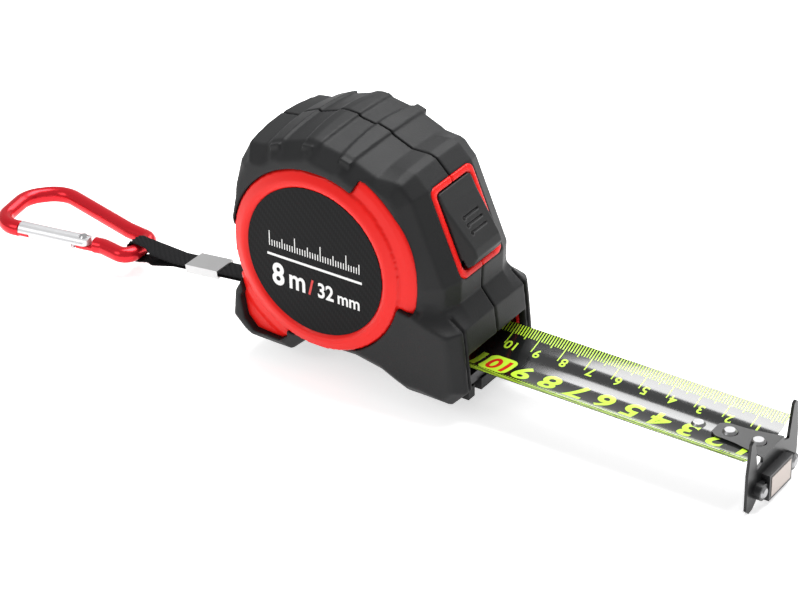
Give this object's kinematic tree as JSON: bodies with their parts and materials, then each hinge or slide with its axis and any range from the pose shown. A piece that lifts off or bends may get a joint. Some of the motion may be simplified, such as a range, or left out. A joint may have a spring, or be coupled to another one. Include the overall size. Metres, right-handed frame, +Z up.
{
  "type": "tape measure",
  "caption": "Pocket tape measure: round rubber-clad case, sliding lock, curved steel blade with magnetic double hook, and a webbing lanyard with a snap carabiner.",
  "frame": {"origin": "on the plane of the case's feet, directly below the spool axis, on the parting plane between the two halves", "axes": "+X the way the blade comes out, +Y across the case, +Z up"},
  "size_m": [0.3094, 0.05, 0.0879],
  "materials": {
    "rubber_grip": "fine matt, moulded",
    "red_housing": "satin, moulded",
    "label_film": "printed film with a fine woven pattern",
    "black_plastic": "moulded",
    "nylon": "natural nylon",
    "blade_print": "gloss nylon coat, printed black with lime marks",
    "bright_steel": "bright zinc",
    "spring_steel": "blued",
    "black_hook": "black satin",
    "magnet_plating": "nickel plated",
    "webbing": "ribbed nylon webbing",
    "red_anodised": "red anodised, bright",
    "plain_aluminium": "satin"
  },
  "bodies": {
    "case": {"housing_left": "red_housing", "housing_right": "red_housing", "grip_left": "rubber_grip", "grip_right": "rubber_grip", "label_left": "label_film", "label_right": "label_film", "spool_shaft": "bright_steel", "spool_washers": "nylon", "case_screws": "bright_steel", "strap_pin": "bright_steel", "mouth_guide": "black_plastic", "hook_bumper": "rubber_grip", "detent_spring": "spring_steel"},
    "spool": {"drum": "black_plastic", "drum_cover": "black_plastic", "tape_coil": "blade_print", "mainspring": "spring_steel"},
    "lock": {"lock_button": "rubber_grip", "lock_tongue": "black_plastic"},
    "blade": {"blade_strip": "blade_print", "blade_lead": "blade_print", "blade_rivets": "bright_steel"},
    "hook": {"hook_plate": "black_hook", "magnet_holder": "black_plastic", "magnet": "magnet_plating", "magnet_rivets": "bright_steel"},
    "lanyard": {"strap": "webbing", "strap_crimp": "plain_aluminium"},
    "carabiner": {"carabiner_body": "red_anodised", "gate_pin": "bright_steel"},
    "gate": {"carabiner_gate": "plain_aluminium", "gate_spring": "spring_steel"}
  },
  "joints": [
    {"name": "blade_slide", "type": "slide", "parent": "case", "child": "blade", "axis": [1, 0, 0], "range_m": [-0.096, 0], "deforming": ["blade_lead"]},
    {"name": "spool_spin", "type": "hinge", "parent": "case", "child": "spool", "pos_m": [0, 0, 0.0396], "axis": [0, 1, 0], "range_deg": [0, 221]},
    {"name": "hook_float", "type": "slide", "parent": "blade", "child": "hook", "axis": [1, 0, 0], "range_m": [-0.0012, 0]},
    {"name": "lock_slide", "type": "slide", "parent": "case", "child": "lock", "axis": [0.3923, 0, -0.9198], "range_m": [0, 0.003]},
    {"name": "lanyard_swing", "type": "hinge", "parent": "case", "child": "lanyard", "pos_m": [-0.0286, 0, 0.0102], "axis": [0, 1, 0], "range_deg": [0, 50]},
    {"name": "carabiner_swing", "type": "hinge", "parent": "lanyard", "child": "carabiner", "pos_m": [-0.093, 0, 0.0028], "axis": [0, 1, 0], "range_deg": [0, 60]},
    {"name": "gate_hinge", "type": "hinge", "parent": "carabiner", "child": "gate", "pos_m": [-0.112, -0.0059, 0.0028], "axis": [0, 0, -1], "range_deg": [0, 25], "stiffness_Nm_per_rad": 0.02, "springref_deg": -17.19}
  ],
  "couplings": [
    {"joint": "spool_spin", "follows": "blade_slide", "rad_per_m": -39.683}
  ]
}
